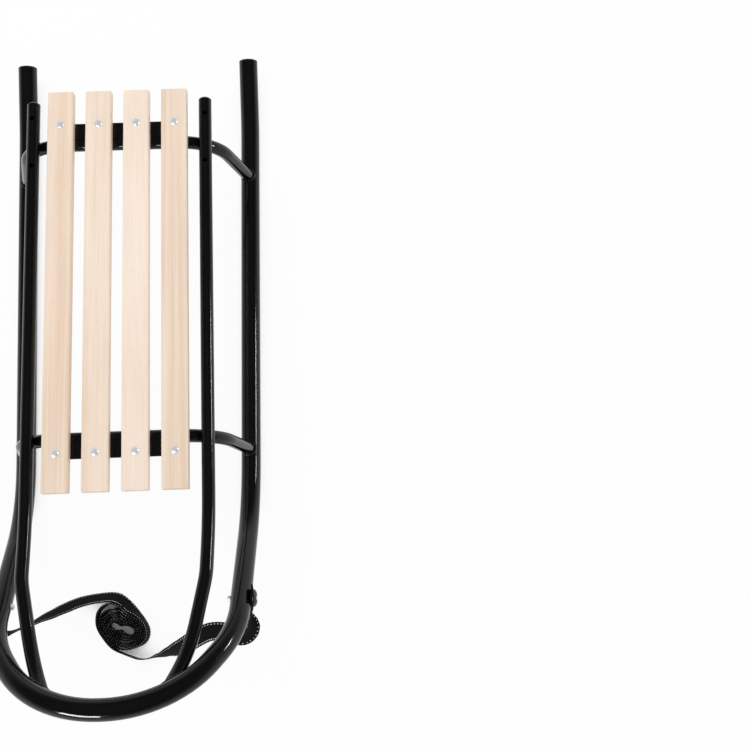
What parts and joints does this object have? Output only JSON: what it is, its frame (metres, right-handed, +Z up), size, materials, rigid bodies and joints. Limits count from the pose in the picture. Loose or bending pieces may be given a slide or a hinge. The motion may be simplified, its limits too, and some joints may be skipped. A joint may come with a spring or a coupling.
{
  "type": "child sled",
  "caption": "Steel-tube child sled with a rising round bow, two side rails, wooden seat slats on arches and a rolled webbing pull strap.",
  "frame": {"origin": "on the ground under the middle of the sled's frame, strap left out", "axes": "+Z up, -Y towards the bow, +X to the right of the picture"},
  "size_m": [0.373, 0.9669, 0.2699],
  "materials": {
    "frame_paint": "gloss black powder coat",
    "slat_wood": "pale planed wood, clear coat",
    "zinc": "bright zinc plate",
    "black_plastic": "satin black plastic",
    "webbing": "black woven webbing with white stitching"
  },
  "bodies": {
    "root": {"runner": "frame_paint", "arch_front": "frame_paint", "arch_rear": "frame_paint", "rail_left": "frame_paint", "rail_right": "frame_paint", "slat_strip_front": "frame_paint", "slat_strip_rear": "frame_paint", "runner_plug_left": "black_plastic", "runner_plug_right": "black_plastic", "rail_cap_left": "black_plastic", "rail_cap_right": "black_plastic", "slat_1": "slat_wood", "slat_2": "slat_wood", "slat_3": "slat_wood", "slat_4": "slat_wood", "slat_bolts": "zinc", "slat_nuts": "zinc", "anchor_bolt_left": "zinc", "anchor_bolt_right": "zinc", "anchor_nut_left": "zinc", "anchor_nut_right": "zinc", "anchor_washer_left": "black_plastic", "anchor_washer_right": "black_plastic", "strap_tab_left": "webbing", "strap_tab_right": "webbing", "strap_run_left": "webbing", "strap_run_right": "webbing", "strap_roll": "webbing"}
  },
  "joints": []
}
